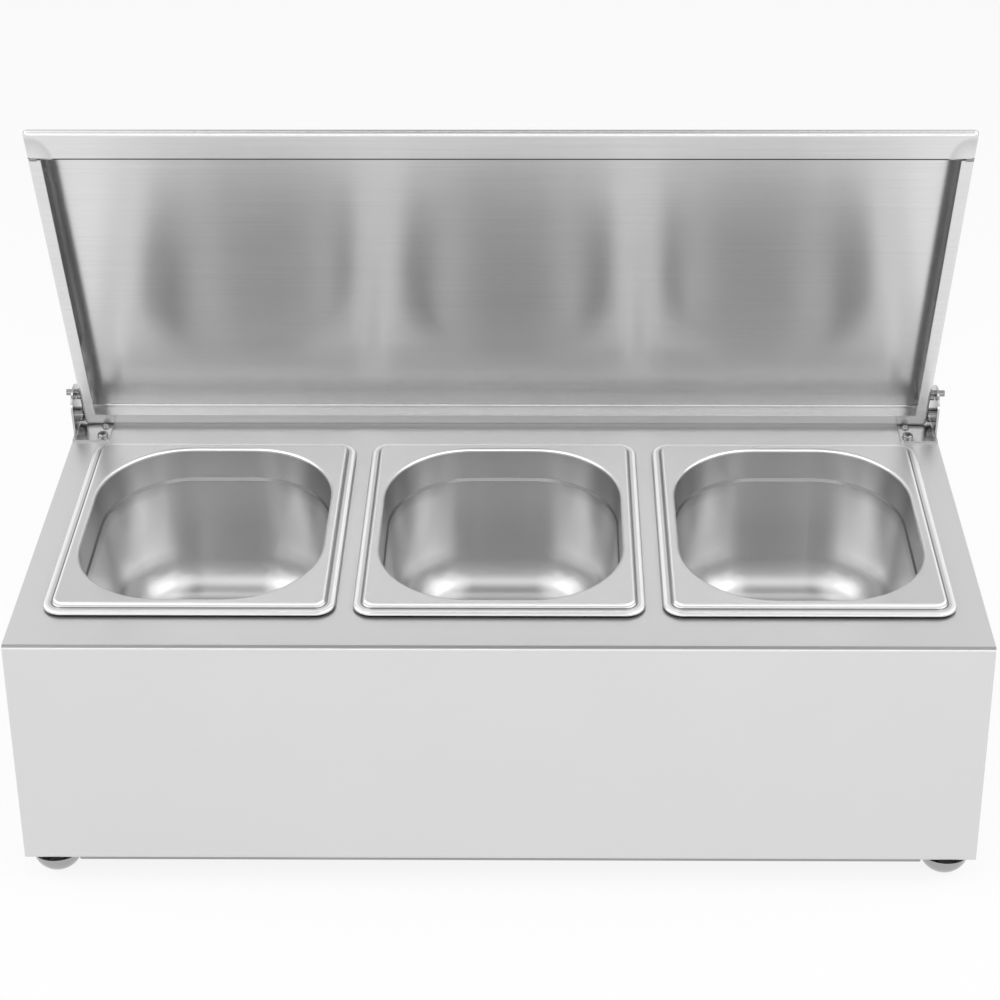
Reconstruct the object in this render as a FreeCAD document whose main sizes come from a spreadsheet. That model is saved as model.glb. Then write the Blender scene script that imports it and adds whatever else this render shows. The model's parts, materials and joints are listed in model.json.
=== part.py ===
import FreeCAD, Part
import os
import re

# Condiment holder for the counter: a wedge-shaped sheet steel housing, three drawn pans hung in its
# sloping deck, and a shallow hinged lid that stands open. Millimetres and degrees.
# Frame: +Z up, the front faces -Y, and the origin is on the counter under the middle of the housing.

SIZES = {
    # Housing
    "deck_side": 15.95, "deck_rear": 6, "front_height": 135.4, "deck_slope": 9.8,
    "body_sheet": 1.2, "body_bend": 2.4, "bottom_return": 24, "seam_gap": 0.1,
    "end_flange": 12, "end_floor": 50, "foot_gap": 14.5,
    # Bottom cover
    "cover_setback": 1.5, "cover_end_gap": 30.5, "cover_sheet": 1.2, "cover_screw_inset": 12,
    "cover_screw_radius": 2, "cover_head_radius": 3.8, "cover_head_height": 2, "cover_screw_length": 8,
    # Feet
    "foot_inset": 15.4, "dome_radius": 14.3, "dome_height": 12, "dome_flat": 3.4,
    "stud_radius": 4, "stud_sink": 5, "stud_length": 30, "stud_tip": 0.8, "nut_across": 13,
    "lock_nut_height": 2.2, "weld_nut_height": 6.5, "running_fit": 0.05,
    # Pans
    "pan_gap": 9.55, "pan_front": 26.3, "rim_width": 162, "rim_length": 176, "rim_corner": 11,
    "rim_rise": 3, "rim_hem": 1.6, "rim_edge": 1.5, "rim_under": 1.2, "web_inset": 5.5, "web_rise": 2.5, "web_corner": 6,
    "web_edge": 1.4, "web_foot": 0.9, "pan_sheet": 0.8, "web_side": 5.75, "web_end": 5.25,
    "opening_corner": 52, "opening_roll": 1.9, "shoulder_drop": 20.6, "shoulder_step": 0.9,
    "shoulder_height": 1.8, "draw_inset": 0.8, "wall_inset": 6.8, "pan_depth": 100, "floor_round": 26,
    "cutout_overlap": 5, "cutout_corner": 8,
    # Lid
    "lid_side_gap": 3.3, "lid_front": 6, "lid_tail": 5.7, "lid_depth": 18, "lid_sheet": 1,
    "lid_nose": 15, "lid_bend": 2.6, "lip_over_rim": 0.9, "side_lip": 7.4, "rear_lip": 8.7, "lip_seam": 0.5,
    "lid_angle": 77, "pivot_in": 15.1, "pivot_rise": 7.5, "pivot_over_lips": 4.2,
    # Hinges
    "bracket_sheet": 1.2, "flange_gap": 5.7, "flange_length": 36, "flange_width": 22.6,
    "bracket_bend": 1.6, "flange_corner": 2.5, "ear_in": 6, "ear_width": 25, "ear_height": 28.8,
    "ear_corner": 12.2, "pivot_radius": 2, "pivot_head_radius": 3, "pivot_head_height": 2.2,
    "head_edge": 1.2, "washer_radius": 4.6, "washer_gap": 0.3, "stop_radius": 2, "stop_out": 5.3,
    "stop_stud_radius": 1.6, "stop_end": 0.5, "stop_climb": 13.4, "stop_back": 5.7, "stop_gap": 0.3, "stop_edge": 0.4,
    "plate_sheet": 1.5, "plate_length": 46, "plate_height": 13.8, "plate_corner": 3, "plate_gap": 0.2,
    "plate_nose": 1.45,
    "rivet_radius": 1.6, "rivet_head_radius": 3, "rivet_head_height": 1.3, "rivet_pitch": 15,
    "bracket_screw_in": 4.4, "front_screw_in": 5, "rear_screw_in": 15.6, "screw_radius": 1.6,
    "screw_head_radius": 3.2, "screw_head_height": 2.2, "low_head_radius": 2.3, "low_head_height": 1.5,
    "screw_length": 10, "bracket_nut_across": 7,
    "bracket_nut_height": 3.2,
    # Tools
    "overrun": 5,
}
# Sizes that follow from the ones above. Runs are measured up the deck from its front edge.
FOLLOWING = {
    "body_width": "=3 * rim_width + 2 * pan_gap + 2 * deck_side",
    "pan_pitch": "=rim_width + pan_gap",
    "opening_width": "=rim_width - 2 * web_inset - 2 * web_side",
    "opening_length": "=rim_length - 2 * web_inset - 2 * web_end",
    "flange_start": "=pan_front + rim_length + flange_gap",
    "flange_end": "=flange_start + flange_length",
    "front_screw_run": "=flange_start + front_screw_in",
    "rear_screw_run": "=flange_start + rear_screw_in",
    "ear_start": "=flange_start + ear_in",
    "pivot_run": "=ear_start + pivot_in",
    "deck_length": "=flange_end + deck_rear",
    "lid_width": "=body_width - 2 * bracket_sheet - 2 * lid_side_gap",
    "lid_reach": "=pivot_run - lid_front",
    "front_lip": "=pan_front + lip_over_rim - lid_front",
    "cover_width": "=body_width - 2 * cover_end_gap",
}
LID_RIVETS = [("first", 0), ("second", 1), ("third", 2)]

doc = FreeCAD.newDocument("condiment_holder")
sheet = doc.addObject("Spreadsheet::Sheet", "sizes")
for row, (name, value) in enumerate({**SIZES, **FOLLOWING}.items(), start=1):
    sheet.set(f"A{row}", name)
    sheet.setAlias(f"B{row}", name)
    sheet.set(f"B{row}", str(value))
doc.recompute()

DEPTH = "(deck_length * cos(deck_slope))"
BACK_HEIGHT = "(front_height + deck_length * sin(deck_slope))"
WEB_TOP = "(rim_rise + web_rise)"
LIPS_LEVEL = "(-pivot_over_lips)"
EAR_INSIDE = "(body_width / 2 - bracket_sheet)"
LID_SIDE = "(lid_width / 2)"


def cell(text):
    """An expression in which each size's name points at its cell."""
    return re.sub(r"[a-z_]+", lambda m: "sizes." + m[0] if m[0] in {**SIZES, **FOLLOWING} else m[0], text)


def bind(item, **sizes):
    """Ties properties of an item to expressions written with the sizes' names."""
    for prop, text in sizes.items():
        item.setExpression(prop.replace("__", "."), cell(text))
    return item


reckoner = doc.addObject("Part::Vertex", "reckoner")


def number(text):
    """What an expression comes to now, for drawing a sketch near its final shape."""
    bind(reckoner, X=text)
    reckoner.recompute()
    return reckoner.X.Value


def settle(item):
    """Builds what is there so far, so that the next step finds its faces and edges."""
    doc.recompute()
    return item


def make(kind, name, **sizes):
    return bind(doc.addObject(kind, name), **sizes)


def body(name):
    return doc.addObject("PartDesign::Body", name)


def sketch_on(owner, name, plane, height="0"):
    """An empty sketch on one of the body's own planes, moved along its normal."""
    sketch = owner.newObject("Sketcher::SketchObject", name)
    plane = next(p for p in owner.Origin.OriginFeatures if p.Role == plane + "_Plane")
    sketch.AttachmentSupport = [(plane, "")]
    sketch.MapMode = "FlatFace"
    return bind(sketch, AttachmentOffset__Base__z=height)


def measure(sketch, kind, where, text):
    """A driving dimension of a sketch that follows an expression."""
    import Sketcher
    place = sketch.addConstraint(Sketcher.Constraint(kind, *where, number(text)))
    sketch.setExpression(f"Constraints[{place}]", cell(text))


def outline(owner, name, plane, points, height="0"):
    """A closed outline of straight lines through points written as expressions."""
    import Sketcher
    sketch = sketch_on(owner, name, plane, height)
    at = [FreeCAD.Vector(number(x), number(y), 0) for x, y in points]
    for i, start in enumerate(at):
        sketch.addGeometry(Part.LineSegment(start, at[(i + 1) % len(at)]), False)
    for i, (x, y) in enumerate(points):
        sketch.addConstraint(Sketcher.Constraint("Coincident", i - 1 if i else len(at) - 1, 2, i, 1))
        measure(sketch, "DistanceX", (-1, 1, i, 1), x)
        measure(sketch, "DistanceY", (-1, 1, i, 1), y)
    return sketch


def rounded(owner, name, width, length, radius, height="0"):
    """A rectangle with round corners, centred on the origin of the XY plane."""
    import Sketcher
    sketch = sketch_on(owner, name, "XY", height)
    w, l, r = number(width) / 2, number(length) / 2, number(radius)
    ends = [(r - w, -l, w - r, -l), (w, r - l, w, l - r), (w - r, l, r - w, l), (-w, l - r, -w, r - l)]
    centres = [(w - r, r - l), (w - r, l - r), (r - w, l - r), (r - w, r - l)]
    for side, (line, centre) in enumerate(zip(ends, centres)):
        start, end = FreeCAD.Vector(*line[:2], 0), FreeCAD.Vector(*line[2:], 0)
        circle = Part.Circle(FreeCAD.Vector(*centre, 0), FreeCAD.Vector(0, 0, 1), r)
        turn = FreeCAD.Units.Quantity(f"{90 * (side - 1)} deg").getValueAs("rad").Value
        quarter = FreeCAD.Units.Quantity("90 deg").getValueAs("rad").Value
        sketch.addGeometry(Part.LineSegment(start, end), False)
        sketch.addGeometry(Part.ArcOfCircle(circle, turn, turn + quarter), False)
    for side in range(4):
        line, arc, following = 2 * side, 2 * side + 1, (2 * side + 2) % 8
        sketch.addConstraint(Sketcher.Constraint("Tangent", line, 2, arc, 1))
        sketch.addConstraint(Sketcher.Constraint("Tangent", arc, 2, following, 1))
        sketch.addConstraint(Sketcher.Constraint("Vertical" if side % 2 else "Horizontal", line))
        if side:
            sketch.addConstraint(Sketcher.Constraint("Equal", 1, arc))
    measure(sketch, "Radius", (1,), radius)
    measure(sketch, "DistanceY", (-1, 1, 0, 1), f"-({length}) / 2")
    measure(sketch, "DistanceX", (-1, 1, 2, 1), f"({width}) / 2")
    measure(sketch, "DistanceY", (-1, 1, 4, 1), f"({length}) / 2")
    measure(sketch, "DistanceX", (-1, 1, 6, 1), f"-({width}) / 2")
    return sketch


def circles(owner, name, plane, spots, radius, height="0"):
    """Equal circles at spots written as expressions."""
    sketch = sketch_on(owner, name, plane, height)
    for i, (x, y) in enumerate(spots):
        centre = FreeCAD.Vector(number(x), number(y), 0)
        sketch.addGeometry(Part.Circle(centre, FreeCAD.Vector(0, 0, 1), number(radius)), False)
        measure(sketch, "Radius", (i,), radius)
        measure(sketch, "DistanceX", (-1, 1, i, 3), x)
        measure(sketch, "DistanceY", (-1, 1, i, 3), y)
    return sketch


def feature(owner, kind, sketch, length=None, both_ways=False, reverse=False):
    """A pad or pocket of a sketch; without a length it goes through everything, both ways."""
    made = owner.newObject("PartDesign::" + kind, sketch.Name + "_" + kind.lower())
    made.Profile = sketch
    if length is None:
        made.Type = "ThroughAll"
        made.Midplane = True
    else:
        bind(made, Length=length)
        made.Midplane = both_ways
        made.Reversed = reverse
    sketch.Visibility = False
    return settle(made)


def round_edges(owner, name, radius, chosen):
    """Rounds the edges of the body's last feature that a test picks."""
    base = settle(owner).Tip
    names = [f"Edge{i}" for i, edge in enumerate(base.Shape.Edges, start=1) if chosen(edge)]
    made = owner.newObject("PartDesign::Fillet", name)
    made.Base = (base, names)
    bind(made, Radius=radius)
    return settle(made)


def middle(edge):
    return edge.BoundBox.Center


def along(edge, axis):
    """Whether a straight edge runs along X, Y or Z, given as 0, 1 or 2."""
    if edge.Curve.TypeId != "Part::GeomLine":
        return False
    return abs(abs(edge.Curve.Direction[axis]) - 1) < 1e-6


def level(edge, text, slack=1e-3):
    """Whether an edge lies flat at a height."""
    box = edge.BoundBox
    return abs(box.ZMin - number(text)) < slack and abs(box.ZMax - number(text)) < slack


def cut(name, base, tool):
    made = doc.addObject("Part::Cut", name)
    made.Base, made.Tool = base, tool
    return settle(made)


def join(name, items):
    made = doc.addObject("Part::MultiFuse", name)
    made.Shapes = items
    return settle(made)


def group(name, items):
    """Separate equal solids that share one node."""
    made = doc.addObject("Part::Compound", name)
    made.Links = items
    return settle(made)


def mirror(name, source):
    """The left-hand twin of a right-hand piece."""
    made = doc.addObject("Part::Mirroring", name)
    made.Source = source
    made.Normal = FreeCAD.Vector(1, 0, 0)
    return settle(made)


def tilt(item, angle):
    item.Placement = FreeCAD.Placement(FreeCAD.Vector(), FreeCAD.Rotation(FreeCAD.Vector(1, 0, 0), 1))
    return bind(item, Placement__Rotation__Angle=angle)


def on_deck(item, x="0", run="0", rise="0", angle="deck_slope"):
    """Lays an item on the deck: across, up along the slope, and square to it."""
    tilt(item, angle)
    y = f"-{DEPTH} / 2 + ({run}) * cos(deck_slope) - ({rise}) * sin(deck_slope)"
    z = f"foot_gap + front_height + ({run}) * sin(deck_slope) + ({rise}) * cos(deck_slope)"
    return bind(item, Placement__Base__x=x, Placement__Base__y=y, Placement__Base__z=z)


def on_lid(item):
    """Puts an item drawn on the closed lid, from its pivot line, on the lid as it stands open."""
    return on_deck(item, run="pivot_run", rise="pivot_rise", angle="deck_slope - lid_angle")


def stand(item, x, y, z):
    return bind(item, Placement__Base__x=x, Placement__Base__y=y, Placement__Base__z=z)


def crosswise(item):
    """Turns a round piece so that its axis, drawn up, runs across to the right."""
    item.Placement = FreeCAD.Placement(FreeCAD.Vector(), FreeCAD.Rotation(FreeCAD.Vector(0, 1, 0), 90))
    return item


def button(owner_name, head_radius, head_height, edge, shank_radius, shank_length):
    """A round-headed fastener: its head stands on the XY plane and its shank goes down."""
    owner = body(owner_name)
    feature(owner, "Pad", circles(owner, owner_name + "_head", "XY", [("0", "0")], head_radius), head_height)
    round_edges(owner, owner_name + "_dome", edge, lambda e: level(e, head_height))
    shank = circles(owner, owner_name + "_shank", "XY", [("0", "0")], shank_radius)
    feature(owner, "Pad", shank, shank_length, reverse=True)
    return owner


NODES = []


def keep(label, item):
    """Names a finished sub-part."""
    item.Label = label
    NODES.append(item)
    return item


# Housing shell: front, sloping deck and back folded from one sheet, returned inward along the bottom


def side_profile(inset):
    """The wedge seen from the side, from the bottom front corner, drawn inset by a wall."""
    rise = f"({inset}) * tan(deck_slope) - ({inset}) / cos(deck_slope)"
    fall = f"-({inset}) * tan(deck_slope) - ({inset}) / cos(deck_slope)"
    front, back = f"-{DEPTH} / 2 + {inset}", f"{DEPTH} / 2 - {inset}"
    return [(front, f"foot_gap + {inset}"), (back, f"foot_gap + {inset}"),
            (back, f"foot_gap + {BACK_HEIGHT} + {fall}"), (front, f"foot_gap + front_height + {rise}")]


def wedge(name, inset, width, bend):
    """A solid wedge with its four long edges rounded as the sheet is bent."""
    owner = body(name)
    feature(owner, "Pad", outline(owner, name + "_side", "YZ", side_profile(inset)), width, both_ways=True)
    round_edges(owner, name + "_bends", bend, lambda e: along(e, 0))
    return owner


def deck_cutouts():
    """Solids that cut the three pan openings out of the deck."""
    tools = []
    for place in (-1, 0, 1):
        owner = body(f"cutout_{place + 2}")
        size = [f"rim_{side} - 2 * cutout_overlap" for side in ("width", "length")]
        shape = rounded(owner, owner.Name + "_outline", *size, "cutout_corner", "-overrun")
        feature(owner, "Pad", shape, "2 * overrun")
        tools.append(on_deck(owner, f"{place} * pan_pitch", "pan_front + rim_length / 2"))
    return tools


def foot_spots():
    """The four corners where a foot's stud goes up into the housing."""
    for end, y in (("front", "-1"), ("rear", "1")):
        for side, x in (("left", "-1"), ("right", "1")):
            across = f"{x} * (body_width / 2 - foot_inset)"
            yield f"{end}_{side}", across, f"{y} * ({DEPTH} / 2 - foot_inset)"


def cover_screw_spots():
    for y in ("-1", "1"):
        for x in ("-1", "0", "1"):
            across = f"{x} * (cover_width / 2 - cover_screw_inset)"
            yield across, f"{y} * ({DEPTH} / 2 - cover_screw_inset)"


def posts(name, spots, radius, bottom, height):
    """Round rods standing at spots of the floor plan, to drill with."""
    owner = body(name)
    feature(owner, "Pad", circles(owner, name + "_plan", "XY", spots, radius, bottom), height)
    return owner


def deck_screw_spots():
    """Where the bracket screws go through the deck, right and left, in deck measures."""
    for side in ("1", "-1"):
        for run in ("front_screw_run", "rear_screw_run"):
            yield f"{side} * (body_width / 2 - flange_width + bracket_screw_in)", run


foot_holes = posts("foot_holes", [(x, y) for _, x, y in foot_spots()], "stud_radius + running_fit",
                   "foot_gap - overrun", "4 * overrun")
cover_holes = posts("cover_holes", list(cover_screw_spots()), "cover_screw_radius",
                    "foot_gap - cover_sheet - overrun", "4 * overrun")
deck_holes = posts("deck_holes", list(deck_screw_spots()), "screw_radius", "-overrun", "2 * overrun")
on_deck(deck_holes)

outer = wedge("shell_outside", "0", "body_width", "body_bend")
hollow = wedge("shell_inside", "body_sheet", "body_width + 2 * overrun", "body_bend - body_sheet")
shell = cut("shell_wrap", outer, hollow)
gap = body("bottom_gap")
inner_edge = f"{DEPTH} / 2 - bottom_return"
gap_points = [(f"-({inner_edge})", "foot_gap - overrun"), (inner_edge, "foot_gap - overrun"),
              (inner_edge, "foot_gap + 2 * overrun"), (f"-({inner_edge})", "foot_gap + 2 * overrun")]
feature(gap, "Pad", outline(gap, "bottom_gap_side", "YZ", gap_points), "body_width + 2 * overrun", both_ways=True)
tools = join("shell_cuts", [gap, foot_holes, cover_holes, deck_holes] + deck_cutouts())
keep("housing_shell", cut("housing_shell", shell, tools))

# End panels: shallow trays set into the ends of the shell, with a wide floor flange for the feet

fit = "(body_sheet + seam_gap)"
panel = wedge("end_outside", fit, "body_width", "body_bend - body_sheet")
core = wedge("end_inside", f"({fit} + body_sheet)", "body_width - 2 * body_sheet",
             "body_bend - body_sheet")
panel = cut("end_tray", panel, core)
kept_end = body("end_part")
floor = "foot_gap + 2 * overrun"
inside, rim = "body_width / 2 - end_floor", "body_width / 2 - end_flange"
over = f"{BACK_HEIGHT} + foot_gap + overrun"
end_points = [(inside, "0"), ("body_width / 2 + overrun", "0"), ("body_width / 2 + overrun", over),
              (rim, over), (rim, floor), (inside, floor)]
feature(kept_end, "Pad", outline(kept_end, "end_front", "XZ", end_points), f"{DEPTH}", both_ways=True)
right_end = doc.addObject("Part::Common", "end_panel_blank")
right_end.Base, right_end.Tool = panel, kept_end
end_cuts = join("end_cuts", [foot_holes, cover_holes, deck_holes])
right_end = keep("side_panel_right", cut("side_panel_right", settle(right_end), end_cuts))
keep("side_panel_left", mirror("side_panel_left", right_end))

# Bottom cover: a flat sheet screwed under the returns, between the feet

cover = body("cover_sheet_metal")
cover_size = ["cover_width", f"{DEPTH} - 2 * cover_setback"]
feature(cover, "Pad", rounded(cover, "cover_plan", *cover_size, "cover_setback", "foot_gap - cover_sheet"),
        "cover_sheet")
keep("base_cover", cut("base_cover", cover, cover_holes))

screws = []
for i, (x, y) in enumerate(cover_screw_spots(), start=1):
    screw = button(f"cover_screw_{i}", "cover_head_radius", "cover_head_height", "head_edge",
                   "cover_screw_radius", "cover_screw_length")
    turn = FreeCAD.Rotation(FreeCAD.Vector(1, 0, 0), 180)
    screw.Placement = FreeCAD.Placement(FreeCAD.Vector(), turn)
    screws.append(stand(screw, x, y, "foot_gap - cover_sheet"))
keep("base_cover_screws", group("base_cover_screws", screws))

# Feet: a bright dome on a threaded stud, locked under the end panel and screwed into a welded nut


def foot_dome(name):
    ball = make("Part::Sphere", name + "_ball", Radius="dome_radius",
                Placement__Base__z="sqrt(dome_radius ^ 2 - dome_flat ^ 2)")
    drum = make("Part::Cylinder", name + "_drum", Radius="dome_radius + overrun", Height="dome_height")
    dome = doc.addObject("Part::Common", name + "_dome")
    dome.Base, dome.Tool = ball, drum
    hole = make("Part::Cylinder", name + "_socket", Radius="stud_radius", Height="dome_height",
                Placement__Base__z="dome_height - stud_sink")
    return cut(name, settle(dome), hole)


def hex_nut(name, across, height, bore):
    block = make("Part::Prism", name + "_hexagon", Circumradius=f"{across} / sqrt(3)", Height=height)
    hole = make("Part::Cylinder", name + "_bore", Radius=bore, Height=f"{height} + 2 * overrun",
                Placement__Base__z="-overrun")
    return cut(name, block, hole)


def foot_stud(name):
    owner = body(name)
    feature(owner, "Pad", circles(owner, name + "_round", "XY", [("0", "0")], "stud_radius"), "stud_length")
    base = owner.Tip
    ends = [f"Edge{i}" for i, e in enumerate(base.Shape.Edges, start=1) if level(e, "stud_length")]
    tip = owner.newObject("PartDesign::Chamfer", name + "_tip")
    tip.Base = (base, ends)
    bind(tip, Size="stud_tip")
    return settle(owner)


panel_floor = "foot_gap + body_sheet + seam_gap"
lock_nuts, weld_nuts = [], []
for corner, x, y in foot_spots():
    dome = foot_dome("foot_dome_" + corner)
    keep("foot_dome_" + corner, stand(dome, x, y, "0"))
    stud = foot_stud("foot_stud_" + corner)
    keep("foot_stud_" + corner, stand(stud, x, y, "dome_height - stud_sink"))
    nut = hex_nut("foot_lock_nut_" + corner, "nut_across", "lock_nut_height", "stud_radius + running_fit")
    lock_nuts.append(stand(nut, x, y, "foot_gap - lock_nut_height"))
    nut = hex_nut("foot_weld_nut_" + corner, "nut_across", "weld_nut_height", "stud_radius + running_fit")
    weld_nuts.append(stand(nut, x, y, panel_floor + " + body_sheet"))
keep("foot_lock_nuts", group("foot_lock_nuts", lock_nuts))
keep("foot_weld_nuts", group("foot_weld_nuts", weld_nuts))

# Pans: three equal drawn pans with a hemmed rim, a raised web round the opening, a stacking
# shoulder below it and leaning walls that turn into the floor on a wide radius


def bowl_levels(wall):
    """Half-sections of the bowl from the top down: inset from the opening, and height."""
    shoulder = f"{WEB_TOP} - shoulder_drop"
    yield f"-({wall})", WEB_TOP
    yield f"draw_inset - ({wall})", shoulder
    yield f"draw_inset + shoulder_step - ({wall})", f"{shoulder} - shoulder_height"
    yield f"draw_inset + shoulder_step + wall_inset - ({wall})", f"{WEB_TOP} - pan_depth + pan_sheet - ({wall})"


def bowl(owner, name, wall):
    """A solid in the shape of the drawn bowl, with its floor rounded into the walls."""
    rings = []
    for i, (inset, height) in enumerate(bowl_levels(wall), start=1):
        size = [f"opening_{side} - 2 * ({inset})" for side in ("width", "length")]
        rings.append(rounded(owner, f"{name}_{i}", *size, f"opening_corner - ({inset})", height))
        rings[-1].Visibility = False
    made = owner.newObject("PartDesign::AdditiveLoft", name)
    made.Profile = rings[0]
    made.Sections = rings[1:]
    made.Ruled = True
    settle(made)
    bottom = f"{WEB_TOP} - pan_depth + pan_sheet - ({wall})"
    round_edges(owner, name + "_floor", f"floor_round + {wall}", lambda e: level(e, bottom))
    return owner


def pan(name, across):
    owner = body(name + "_rim_sheet")
    rim = rounded(owner, name + "_rim", "rim_width", "rim_length", "rim_corner")
    feature(owner, "Pad", rim, "rim_rise")
    size = [f"rim_{side} - 2 * web_inset" for side in ("width", "length")]
    feature(owner, "Pad", rounded(owner, name + "_web", *size, "web_corner"), WEB_TOP)
    round_edges(owner, name + "_rim_edge", "rim_edge", lambda e: level(e, "rim_rise") and on_rim(e))
    round_edges(owner, name + "_rim_bottom", "rim_under", lambda e: level(e, "0") and on_rim(e))
    round_edges(owner, name + "_web_edge", "web_edge", lambda e: level(e, WEB_TOP))
    round_edges(owner, name + "_web_foot", "web_foot", lambda e: level(e, "rim_rise") and on_web(e))
    under = [f"rim_{side} - 2 * rim_hem" for side in ("width", "length")]
    shape = rounded(owner, name + "_under_rim", *under, "rim_corner - rim_hem")
    feature(owner, "Pocket", shape, "rim_rise - pan_sheet", reverse=True)
    under = [f"rim_{side} - 2 * (web_inset + pan_sheet)" for side in ("width", "length")]
    shape = rounded(owner, name + "_under_web", *under, "web_corner - pan_sheet")
    feature(owner, "Pocket", shape, f"{WEB_TOP} - pan_sheet", reverse=True)
    outside = bowl(body(name + "_bowl_body"), name + "_bowl", "pan_sheet")
    inside = bowl(body(name + "_cavity_body"), name + "_cavity", "0")
    whole = cut(name + "_drawn", join(name + "_joined", [owner, outside]), inside)
    finished = doc.addObject("PartDesign::Body", name)
    finished.BaseFeature = whole
    settle(finished)
    roll = lambda e: level(e, WEB_TOP) and in_opening(e)
    round_edges(finished, name + "_roll", "opening_roll", roll)
    return on_deck(finished, across, "pan_front + rim_length / 2")


def on_rim(edge):
    """Whether an edge is on the outer outline of the rim."""
    box = edge.BoundBox
    reach = max(abs(box.XMin), abs(box.XMax)) - number("rim_width / 2")
    depth = max(abs(box.YMin), abs(box.YMax)) - number("rim_length / 2")
    return abs(reach) < 1e-3 or abs(depth) < 1e-3


def on_web(edge):
    """Whether an edge is on the outline of the raised web."""
    box = edge.BoundBox
    reach = max(abs(box.XMin), abs(box.XMax)) - number("rim_width / 2 - web_inset")
    depth = max(abs(box.YMin), abs(box.YMax)) - number("rim_length / 2 - web_inset")
    return abs(reach) < 1e-3 or abs(depth) < 1e-3


def in_opening(edge):
    """Whether an edge is on the opening's outline."""
    box = edge.BoundBox
    return max(abs(box.XMin), abs(box.XMax)) < number("opening_width / 2") + 1e-3


for place, side in ((-1, "left"), (0, "middle"), (1, "right")):
    keep("pan_" + side, pan("pan_" + side, f"{place} * pan_pitch"))

# Lid: a shallow folded tray with a sloping nose and lips returned inward on all four sides


def lid_profile(inset):
    """The closed lid seen from the side, from the pivot line, drawn inset by a wall."""
    slope = f"lid_nose / lid_depth * ({inset})"
    nose = f"-lid_reach + sqrt(lid_nose ^ 2 + lid_depth ^ 2) / lid_depth * ({inset})"
    back, bottom = f"lid_tail - {inset}", f"{LIPS_LEVEL} + {inset}"
    top = f"{LIPS_LEVEL} + lid_depth - {inset}"
    return [(f"{nose} + {slope}", bottom), (back, bottom), (back, top),
            (f"{nose} + lid_nose - {slope}", top)]


def lid_block(name, inset, bend):
    """A solid in the lid's outline with every edge rounded as the sheet is bent."""
    owner = body(name)
    side = outline(owner, name + "_side", "YZ", lid_profile(inset))
    feature(owner, "Pad", side, f"lid_width - 2 * ({inset})", both_ways=True)
    round_edges(owner, name + "_edges", bend, lambda e: True)
    return owner


lid_window = body("lid_window")
window_front, window_back = "-lid_reach + front_lip", "lid_tail - rear_lip"
window_side = "lid_width / 2 - side_lip"
plan = [(f"-({window_side})", window_front), (window_side, window_front), (window_side, window_back),
        (f"-({window_side})", window_back)]
feature(lid_window, "Pad", outline(lid_window, "window_plan", "XY", plan, f"{LIPS_LEVEL} - overrun"),
        "overrun + 2 * lid_sheet")
seams = body("lid_seams")
seam_ends = f"{LID_SIDE} - lid_bend"
plan = [(f"-({seam_ends})", window_front), (seam_ends, window_front),
        (seam_ends, f"{window_front} + lip_seam"), (f"-({seam_ends})", f"{window_front} + lip_seam")]
feature(seams, "Pad", outline(seams, "seam_plan", "XY", plan, f"{LIPS_LEVEL} - overrun"),
        "overrun + 2 * lid_sheet")
pivot_drill = crosswise(make("Part::Cylinder", "pivot_drill", Radius="pivot_radius + running_fit",
                             Height="lid_width + 2 * overrun", Placement__Base__x="-lid_width / 2 - overrun"))


def lid_rivet_spots():
    """The rivets of a hinge plate, as distance in front of the pivot and height over it."""
    for _, place in LID_RIVETS:
        height = f"lid_depth / 2 - pivot_over_lips + {place % 2} * rivet_radius"
        yield f"-rivet_pitch * {place + 1} + rivet_pitch / 2", height


rivet_drills = body("rivet_drills")
spots = list(lid_rivet_spots()) + [("-stop_climb", "stop_back - pivot_over_lips")]
feature(rivet_drills, "Pad", circles(rivet_drills, "rivet_plan", "YZ", spots[:-1], "rivet_radius"),
        "lid_width + 2 * overrun", both_ways=True)
stud_drill = body("stop_stud_drill")
feature(stud_drill, "Pad", circles(stud_drill, "stop_stud_plan", "YZ", spots[-1:], "stop_stud_radius"),
        "lid_width + 2 * overrun", both_ways=True)
lid_cuts = join("lid_cuts", [lid_block("lid_inside", "lid_sheet", "lid_bend - lid_sheet"), lid_window, seams,
                             pivot_drill, rivet_drills, stud_drill])
lid = cut("lid_tray", lid_block("lid_outside", "0", "lid_bend"), lid_cuts)
keep("lid_tray", on_lid(lid))

# Hinge plates: flat stiffeners riveted inside the lid's side walls, bored for the pivots

plate_outside = f"({LID_SIDE} - lid_sheet)"
plate = body("plate_blank")
plate_low = f"{LIPS_LEVEL} + lid_sheet + plate_gap"
plate_back = "lid_tail - lid_bend - plate_gap"
points = [(f"{plate_back} - plate_length", plate_low), (plate_back, plate_low),
          (plate_back, f"{plate_low} + plate_height"),
          (f"{plate_back} - plate_length", f"{plate_low} + plate_height")]
blank = outline(plate, "plate_side", "YZ", points, f"{plate_outside} - plate_sheet")
feature(plate, "Pad", blank, "plate_sheet")
front_corners = lambda e: along(e, 0) and middle(e).y < number("-plate_length / 2")
round_edges(plate, "plate_corners", "plate_corner", front_corners)
nested = lambda e: abs(middle(e).x - number(plate_outside)) < 1e-3 and middle(e).z < number("0") - 1e-3
round_edges(plate, "plate_nose", "plate_nose", lambda e: along(e, 1) and nested(e))
plate_cuts = join("plate_cuts", [pivot_drill, rivet_drills, stud_drill])
right_plate = keep("lid_hinge_plate_right", on_lid(cut("lid_hinge_plate_right", plate, plate_cuts)))
keep("lid_hinge_plate_left", mirror("lid_hinge_plate_left", right_plate))

# Rivets of the hinge plates, their heads inside the lid


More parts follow.
